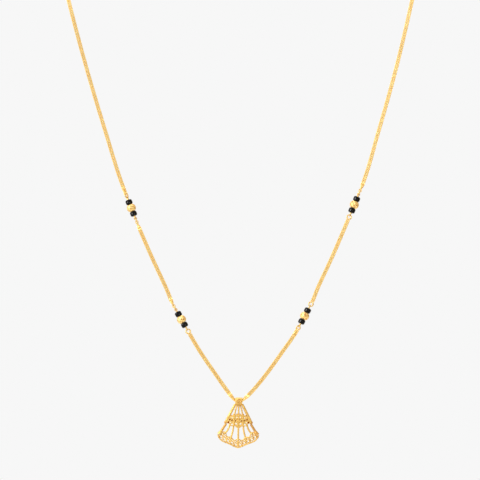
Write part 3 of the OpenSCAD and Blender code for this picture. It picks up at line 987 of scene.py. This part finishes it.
class MANGALSUTRA_OT_pendant(bpy.types.Operator):
    """Makes the fan pendant from bars, ribs, a cut band and lace"""

    bl_idname = "mangalsutra.pendant"
    bl_label = "Pendant"
    bl_options = {"REGISTER", "UNDO"}

    def execute(self, context):
        finish = context.scene.mangalsutra_finish
        material = gold_finish("pendant_gold", finish, finish.gold, rougher=0.28, patch=0.0008)
        settings = context.scene.mangalsutra_pendant
        bail, bail_grains = model_bail()
        fan = [*model_collar(), *model_bars(settings), *model_ribs(settings)]
        fan += [*model_band(settings), *model_lace(settings)]
        grain = model_grain()
        plain, shade_spots = fan_grains(settings)
        fan.append(set_on_places(grain, plain, "grains"))
        # The grains at the petals' joints, the bar knobs and every other bead along the band get painted
        # shade
        fan.append(stain(set_on_places(grain, shade_spots, "warm_grains"), GRAIN_PAINTED_SHADE))
        fan = join(fan, "fan")
        fan.data.transform(Matrix.Rotation(ASKEW, 4, "Y"))
        bail.append(set_on_places(grain, bail_grains, "bail_grain"))
        pendant = join([fan, *bail], "fan_pendant")
        settle(pendant, Matrix.Translation(BAIL))
        smooth_below(pendant, 40)
        dress(pendant, material, "pendant_gold", "pendant", "pendant")
        discard(grain)
        return {"FINISHED"}


class MANGALSUTRA_OT_stage(bpy.types.Operator):
    """Sets up the floor, the soft light and the camera"""

    bl_idname = "mangalsutra.stage"
    bl_label = "Floor, light and camera"
    bl_options = {"REGISTER", "UNDO"}

    def execute(self, context):
        settings = context.scene.mangalsutra_stage
        make_floor(settings)
        light_space(settings)
        make_lights(settings)
        make_camera()
        return {"FINISHED"}


def model_cut_ball(settings):
    """A gold ball cut all over in flat facets, with a hole along Z."""
    cuts = settings.cuts
    half = settings.gold_length / MM / 2
    radius = settings.gold_width / MM / 2
    bore = settings.bore / MM / 2
    rings = 9
    ball = add(bpy.ops.mesh.primitive_uv_sphere_add, segments=cuts, ring_count=rings, radius=1)
    top = math.cos(2 * math.pi / rings)
    widest = math.cos(math.pi / rings / 2)
    ball.scale = (radius / widest, radius / widest, half / top)
    hold_placement()
    edit_where(ball, "VERT", lambda point: abs(point.co.z) > half + 0.01)
    bpy.ops.mesh.delete(type="VERT")
    leave_edit_mode()
    levels = sorted({round(point.co.z, 4) for point in ball.data.vertices})
    for level in levels[1::2]:
        edit_where(ball, "VERT", lambda point: abs(point.co.z - level) < 0.01)
        bpy.ops.transform.rotate(
            value=math.pi / cuts, orient_axis="Z", orient_type="GLOBAL", center_override=(0, 0, 0)
        )
    leave_edit_mode()
    edit_where(ball, "EDGE", lambda edge: all(abs(p.z) > half - 0.01 for p in edge_ends(ball, edge)))
    inner = bore / Vector(edge_ends(ball, next(e for e in ball.data.edges if e.select))[0][:2]).length
    bpy.ops.mesh.extrude_edges_move()
    bpy.ops.transform.resize(value=(inner, inner, 1), orient_type="GLOBAL", center_override=(0, 0, 0))
    bpy.ops.mesh.bridge_edge_loops()
    leave_edit_mode()
    edit_where(ball, "FACE", lambda face: len(face.vertices) > 3)
    bpy.ops.mesh.quads_convert_to_tris(quad_method="SHORTEST_DIAGONAL")
    tidy_surface(ball)
    apply_modifier(
        ball, "BEVEL", width=FACET_EDGE, segments=1, limit_method="ANGLE", angle_limit=math.radians(8)
    )
    pick(ball)
    bpy.ops.object.shade_flat()
    # A fifth of the facets get painted dark reflections
    paint_dark_reflections(ball, cuts, FACET_DARK_REFLECTION)
    return ball


def paint_dark_reflections(ball, cuts, amount):
    """Marks a fifth of a ball's facets, spread evenly over it, with painted dark reflections by this much."""
    marks = []
    for face in ball.data.polygons:
        step = round(math.atan2(face.center.y, face.center.x) / math.pi * cuts)
        level = round(2 * face.center.z)
        marks.append(amount if (step + 7 * level) % 5 == 0 else 0)
    field = ball.data.attributes.new("stain", "FLOAT", "FACE")
    field.data.foreach_set("value", marks)


def model_black_bead(settings):
    """A black glass bead: a barrel of narrow flat sides with round rims, and a hole along Z."""
    radius = settings.black_width / MM / 2
    long = settings.black_length / MM
    bore = settings.bore / MM / 2
    bead = add(bpy.ops.mesh.primitive_cylinder_add, vertices=settings.sides, radius=radius, depth=long)
    open_through(bead, 2, radius - bore)

    def on_rim(edge, r):
        a, b = edge_ends(bead, edge)
        return abs(a.z - b.z) < 0.01 and all(abs(p.xy.length - r) < 0.02 for p in (a, b))

    bevel_edges(bead, lambda edge: on_rim(edge, radius), offset=long * BEAD_ROUNDING, segments=5)
    bevel_edges(bead, lambda edge: on_rim(edge, bore), offset=BORE_ROUND, segments=2)
    tidy_surface(bead)
    return bead


def model_collar():
    """The plate under the bail, with a cheek beside each of its lips and a small bar across its front."""
    top = -(BAIL_BORE + BAIL_WALL) / 2
    lip = BAIL_WIDTH / 2
    outline = [(-COLLAR_TOP, top), (COLLAR_TOP, top), *COLLAR_FOOT, *mirrored(reversed(COLLAR_FOOT))]
    cheek = [(lip + x, z) for x, z in CHEEK]
    # The plate under the bail gets painted shade
    return [
        stain(cut_plate(outline, [], COLLAR_THICKNESS, FAN_BACK, COLLAR_ROUND), COLLAR_PAINTED_SHADE),
        cut_plate(cheek, [], CHEEK_THICKNESS, FAN_BACK, CHEEK_ROUND),
        cut_plate(mirrored(cheek), [], CHEEK_THICKNESS, FAN_BACK, CHEEK_ROUND),
        draw_wire(COLLAR_BAR, COLLAR_BAR_WIDTH, back=-COLLAR_BAR_FRONT),
    ]


def model_bars(settings):
    """The smooth outer bars of the fan, the lower ones flared towards their ends."""
    width = settings.bar_width / MM
    flare = settings.flare / MM / width
    bars = []
    end_swell = (FLARE_START, flare * FLARE_MIDDLE, flare)
    # The lower bars get painted shade where the upper bars shade them, and the right flared end more, as the
    # side away from the light
    for side, end_shade in ((list, RIGHT_END_PAINTED_SHADE), (mirrored, 0)):
        bars.append(draw_wire(side(UPPER_BAR), width, swell=UPPER_BAR_SWELL))
        bars.append(stain(draw_wire(side(LOWER_BAR), width, swell=LOWER_BAR_SWELL), LOWER_BAR_PAINTED_SHADE))
        bars.append(stain(draw_wire(side(FLARED_END), width, swell=end_swell), end_shade))
    return bars


def model_ribs(settings):
    """The ribs from the collar to the band, and the wider ones from the band to the lace."""
    width = settings.rib_width / MM
    depth = settings.wire_depth / MM
    collar_foot = COLLAR_FOOT[-1][1]
    ribs = []
    for way in [*CENTRE_RIBS, *SIDE_RIBS, *(mirrored(way) for way in SIDE_RIBS)]:
        from_collar = way[0][1] > collar_foot
        ribs.append(draw_wire(way, width - UPPER_RIB_LESS if from_collar else width, depth))
    return ribs


def pit_floor(x, z, width, back, depth=0.2):
    """A small round plate that closes the back of a pit or of a ring."""
    plate = add(
        bpy.ops.mesh.primitive_cylinder_add,
        vertices=20, radius=width / 2 + PIT_RIM, depth=depth, location=(x, back, z), rotation=UPRIGHT,
    )
    hold_placement()
    return plate


def model_band(settings):
    """The scalloped band in front of the ribs, with small round holes and pits with raised rims."""
    thick = settings.band_thickness / MM
    back = FAN_BACK - BAND_FRONT
    outline = mirrored(reversed(BAND_TOP)) + BAND_TOP + scalloped_edge()
    pits = BAND_PITS + mirrored(BAND_PITS)
    rounds = BAND_HOLES + mirrored(BAND_HOLES) + pits
    front = back - thick / 2
    pieces = [cut_plate(outline, rounds, thick, back, BAND_ROUND)]
    for x, z, d in rounds:
        pieces.append(ring_wire(x, z, d / 2 + PIT_RIM, RIM_WIRE, front + RIM_SUNK))
    # The floors behind the pits get full painted shade
    for x, z, d in pits:
        pieces.append(stain(pit_floor(x, z, d, back + thick / 4), 1))
    for way in [*BAND_RIBS, mirrored(BAND_RIBS[1])]:
        pieces.append(draw_wire(way, settings.lace_width / MM, BAND_RIB_DEPTH, front))
    return pieces


def model_lace(settings):
    """The lace: its rim, its wavy upper edge, the walls of its petals and the rings in them."""
    wire = settings.lace_width / MM
    depth = settings.wire_depth / MM
    rim = settings.rim_width / MM
    pieces = [
        draw_wire([rim_point(a) for a in LACE_ANGLES], rim, depth + RIM_DEEPER),
        draw_wire([edge_point(a) for a in LACE_ANGLES], wire, depth),
    ]
    for a in PETAL_ANGLES + PETAL_JOINTS:
        if a:
            middle = [(p + q) / 2 for p, q in zip(edge_point(a), rim_point(a))]
            pieces.append(draw_wire([edge_point(a), middle, rim_point(a)], wire * WALL_SHARE, depth))
    for a in PETAL_ANGLES:
        for half in (-1, 1):
            for inset, outside, hole in CELL_RINGS:
                x, z = rim_point(a + half * CELL_TURN, inset + CELL_SLANT * abs(a))
                middle_radius = (outside + hole) / 4
                ring_width = (outside - hole) / 2
                pieces.append(ring_wire(x, z, middle_radius, ring_width, FAN_BACK, depth - CELL_LESS_DEEP))
    return pieces


def fan_grains(settings):
    """Places of the fan's plain round grains and knots, and of those that get painted shade."""
    grain = settings.grain_size / MM
    back = FAN_BACK
    front = FAN_BACK - BAND_FRONT
    shade_spots = [(*rim_point(a), JOINT_KNOB, back) for a in PETAL_JOINTS]
    plain = [(*edge_point(a, EDGE_KNOB_RAISED), EDGE_KNOB, back) for a in PETAL_ANGLES]
    for i, (x, z, d) in enumerate([*BAND_BEADS, *mirrored(BAND_BEADS)]):
        (shade_spots if i % 2 else plain).append((x, z, d, front))
    for x, z, d in [BAR_KNOB, *mirrored([BAR_KNOB])]:
        shade_spots.append((x, z, d, back))
    for i in range(GRAIN_STEPS + 1):
        angle = -GRAIN_REACH + 2 * GRAIN_REACH * i / GRAIN_STEPS
        plain.append((*rim_point(angle), grain, back - GRAIN_FRONT))
    return [[Place(Vector((x, y, z)), Z, X, d) for x, z, d, y in spots] for spots in (plain, shade_spots)]


def shader(name):
    """A new material and its nodes, links and main shader."""
    material = bpy.data.materials.new(name)
    material.use_nodes = True
    tree = material.node_tree
    return material, tree, tree.nodes["Principled BSDF"]


def object_noise(tree, size, detail=3):
    """Noise over the piece's own coordinates, with features about this big, in metres."""
    place = tree.nodes.new("ShaderNodeTexCoord")
    noise = tree.nodes.new("ShaderNodeTexNoise")
    noise.inputs["Scale"].default_value = 1 / size
    noise.inputs["Detail"].default_value = detail
    tree.links.new(place.outputs["Object"], noise.inputs["Vector"])
    return noise.outputs["Fac"]


def remap(tree, value, start, end, low, high, way="LINEAR"):
    """Brings a value's range from start to end to the range from low to high."""
    span = tree.nodes.new("ShaderNodeMapRange")
    span.interpolation_type = way
    for label, number in zip(("From Min", "From Max", "To Min", "To Max"), (start, end, low, high)):
        span.inputs[label].default_value = number
    tree.links.new(value, span.inputs["Value"])
    return span.outputs["Result"]


def spread(tree, value, low, high):
    """Brings the middle of a noise's range to a range of values."""
    return remap(tree, value, 0.3, 0.7, low, high)


def colour_mix(tree, first, second, share):
    """A colour that goes from one colour or output to another, by a share from 0 to 1."""
    mix = tree.nodes.new("ShaderNodeMix")
    mix.data_type = "RGBA"
    for label, side in (("A", first), ("B", second)):
        if isinstance(side, bpy.types.NodeSocket):
            tree.links.new(side, mix.inputs[label])
        else:
            mix.inputs[label].default_value = (*side, 1)
    tree.links.new(share, mix.inputs["Factor"])
    return mix.outputs["Result"]


def add_bump(tree, surface, value, depth):
    bump = tree.nodes.new("ShaderNodeBump")
    bump.inputs["Strength"].default_value = 0.6
    bump.inputs["Distance"].default_value = depth
    tree.links.new(value, bump.inputs["Height"])
    tree.links.new(bump.outputs["Normal"], surface.inputs["Normal"])


def mottle(tree, surface, main, other, size):
    """Colours a surface in soft patches of two colours, about this big."""
    patches = spread(tree, object_noise(tree, size), 0, 1)
    tree.links.new(colour_mix(tree, main, other, patches), surface.inputs["Base Color"])


def gold_finish(name, finish, metal, rougher, patch):
    """Polished gold: warmer patches, painted shade where a piece is marked for it, small changes of polish
    and fine wear.
    """
    material, tree, surface = shader(name)
    surface.inputs["Metallic"].default_value = 1
    warmer = [c * w for c, w in zip(metal, finish.warmth)]
    warm_share = spread(tree, object_noise(tree, patch), low=0, high=0.7)
    clean = colour_mix(tree, metal, warmer, warm_share)
    # Painted shade: the red-brown is painted in where the attribute marks a piece or a facet
    amount = tree.nodes.new("ShaderNodeAttribute")
    amount.attribute_name = "stain"
    with_painted_shade = colour_mix(tree, clean, finish.stain, amount.outputs["Fac"])
    tree.links.new(with_painted_shade, surface.inputs["Base Color"])
    polish = finish.polish + rougher
    roughness = spread(tree, object_noise(tree, patch / 2), low=polish * 0.7, high=polish * 1.3)
    tree.links.new(roughness, surface.inputs["Roughness"])
    add_bump(tree, surface, object_noise(tree, size=0.00012), depth=0.000003)
    return material


def glass_finish(name, finish):
    """Glossy black glass, a little uneven."""
    material, tree, surface = shader(name)
    mottle(tree, surface, finish.glass, [3 * c for c in finish.glass], size=0.0006)
    roughness = spread(tree, object_noise(tree, size=0.0005), low=0.02, high=0.07)
    tree.links.new(roughness, surface.inputs["Roughness"])
    surface.inputs["IOR"].default_value = GLASS_IOR
    add_bump(tree, surface, object_noise(tree, size=0.0008, detail=1), depth=0.000008)
    return material


# The photograph's frame is 192 mm wide at the pendant, and looks level at this point
VIEW_MIDDLE = Vector((-0.12, -96, -131))
VIEW_WIDTH = 192
LENS = 300
FLOOR_DROP = 0.045
FLOOR_RADIUS = 0.42
# The soft lights: width, height and the way from the jewel's middle, in metres
LIGHTS = {
    "key": (0.5, 0.5, (-0.55, -0.6, 0.6)),
    "side": (0.09, 0.8, (-0.78, -0.72, 0.27)),
    "fill": (0.06, 0.42, (0.27, -0.96, 0.28)),
    "top": (0.6, 0.6, (-0.05, 0.4, 0.8)),
}
# The side on which the space round the jewel is brightest, and the tint on the other side
BRIGHT_SIDE = Vector((-0.75, -0.35, 0.55))
WARM_SIDE_TINT = (1, 0.8, 0.54)


def make_floor(settings):
    """A round pale floor below the jewel, which the photo's view doesn't reach."""
    low, high = FRAME_BOX
    middle = (low + high) / 2
    floor = add(
        bpy.ops.mesh.primitive_circle_add, vertices=128, radius=FLOOR_RADIUS, fill_type="NGON",
        location=(middle.x, middle.y, low.z - FLOOR_DROP),
    )
    floor.name = "floor"
    hold_placement()
    material, tree, surface = shader("floor")
    darker = [0.97 * c for c in settings.floor_colour]
    mottle(tree, surface, settings.floor_colour, darker, size=0.05)
    surface.inputs["Roughness"].default_value = 0.8
    floor.data.materials.append(material)


def light_space(settings):
    """Plain space round the jewel: even where it is seen, and in reflections brighter at the upper left
    and warmer at the lower right."""
    world = bpy.data.worlds.new("studio")
    world.use_nodes = True
    tree = world.node_tree
    nodes = tree.nodes
    link = tree.links.new
    plain = nodes["Background"]
    plain.inputs["Color"].default_value = (1, 1, 1, 1)
    plain.inputs["Strength"].default_value = settings.backdrop
    shaded = nodes.new("ShaderNodeBackground")
    place = nodes.new("ShaderNodeTexCoord")

    def graded(towards, near, far, start=-1):
        """A brightness that goes from far to near as a direction turns towards this one."""
        facing = nodes.new("ShaderNodeVectorMath")
        facing.operation = "DOT_PRODUCT"
        facing.inputs[1].default_value = towards.normalized()
        link(place.outputs["Generated"], facing.inputs[0])
        return remap(tree, facing.outputs["Value"], start, 1, far, near, "SMOOTHSTEP")

    both = nodes.new("ShaderNodeMath")
    both.operation = "MULTIPLY"
    link(graded(BRIGHT_SIDE, near=1.55, far=0.64), both.inputs[0])
    link(graded(-Y, near=0.52, far=1, start=0.5), both.inputs[1])
    link(both.outputs["Value"], shaded.inputs["Strength"])
    white_share = graded(BRIGHT_SIDE, near=1, far=0)
    link(colour_mix(tree, WARM_SIDE_TINT, (1, 1, 1), white_share), shaded.inputs["Color"])
    mix = nodes.new("ShaderNodeMixShader")
    rays = nodes.new("ShaderNodeLightPath")
    link(rays.outputs["Is Camera Ray"], mix.inputs["Fac"])
    link(shaded.outputs["Background"], mix.inputs[1])
    link(plain.outputs["Background"], mix.inputs[2])
    link(mix.outputs["Shader"], nodes["World Output"].inputs["Surface"])
    bpy.context.scene.world = world
    bpy.context.scene.view_settings.view_transform = "Standard"


def add_light(name, power, width, height, towards):
    """An upright soft light, this way from the jewel's middle and facing it."""
    lamp = add(bpy.ops.object.light_add, type="AREA", location=sum(FRAME_BOX, Vector()) / 2 + Vector(towards))
    lamp.name = name
    lamp.data.energy = power
    lamp.data.shape = "RECTANGLE"
    lamp.data.size = width
    lamp.data.size_y = height
    lamp.rotation_euler = Vector(towards).to_track_quat("Z", "Y").to_euler()


def make_lights(settings):
    for name, (width, height, towards) in LIGHTS.items():
        add_light(f"{name}_light", getattr(settings, f"{name}_power"), width, height, towards)


def make_camera():
    """The photograph's level view, from far enough to look flat."""
    sensor = 36
    distance = VIEW_WIDTH * LENS / sensor
    camera = add(bpy.ops.object.camera_add, location=(VIEW_MIDDLE - distance * Y) * MM, rotation=UPRIGHT)
    camera.name = "camera"
    camera.data.lens = LENS
    camera.data.sensor_width = sensor
    camera.data.clip_start = 0.1
    camera.data.clip_end = 20
    bpy.context.scene.camera = camera


class MANGALSUTRA_PT_panel(bpy.types.Panel):
    """Pieces and settings of the mangalsutra"""

    bl_idname = "MANGALSUTRA_PT_panel"
    bl_label = "Mangalsutra"
    bl_space_type = "VIEW_3D"
    bl_region_type = "UI"
    bl_category = "Mangalsutra"

    def draw(self, context):
        for name, group in SETTINGS.items():
            box = self.layout.box()
            box.label(text=group.__doc__)
            for setting in group.__annotations__:
                box.prop(getattr(context.scene, name), setting)
        for operator in OPERATORS:
            self.layout.operator(operator.bl_idname)


OPERATORS = (
    MANGALSUTRA_OT_stage,
    MANGALSUTRA_OT_chain,
    MANGALSUTRA_OT_fittings,
    MANGALSUTRA_OT_gold_balls,
    MANGALSUTRA_OT_black_beads,
    MANGALSUTRA_OT_pendant,
)


def register():
    for group in SETTINGS.values():
        bpy.utils.register_class(group)
    for operator in OPERATORS:
        bpy.utils.register_class(operator)
    bpy.utils.register_class(MANGALSUTRA_PT_panel)
    for name, group in SETTINGS.items():
        setattr(bpy.types.Scene, name, bpy.props.PointerProperty(type=group))


def unregister():
    for name in SETTINGS:
        delattr(bpy.types.Scene, name)
    bpy.utils.unregister_class(MANGALSUTRA_PT_panel)
    for operator in reversed(OPERATORS):
        bpy.utils.unregister_class(operator)
    for group in SETTINGS.values():
        bpy.utils.unregister_class(group)


def main():
    register()
    bpy.ops.mangalsutra.stage()
    bpy.ops.mangalsutra.chain()
    bpy.ops.mangalsutra.fittings()
    bpy.ops.mangalsutra.gold_balls()
    bpy.ops.mangalsutra.black_beads()
    bpy.ops.mangalsutra.pendant()
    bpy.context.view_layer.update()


if __name__ == "__main__":
    main()
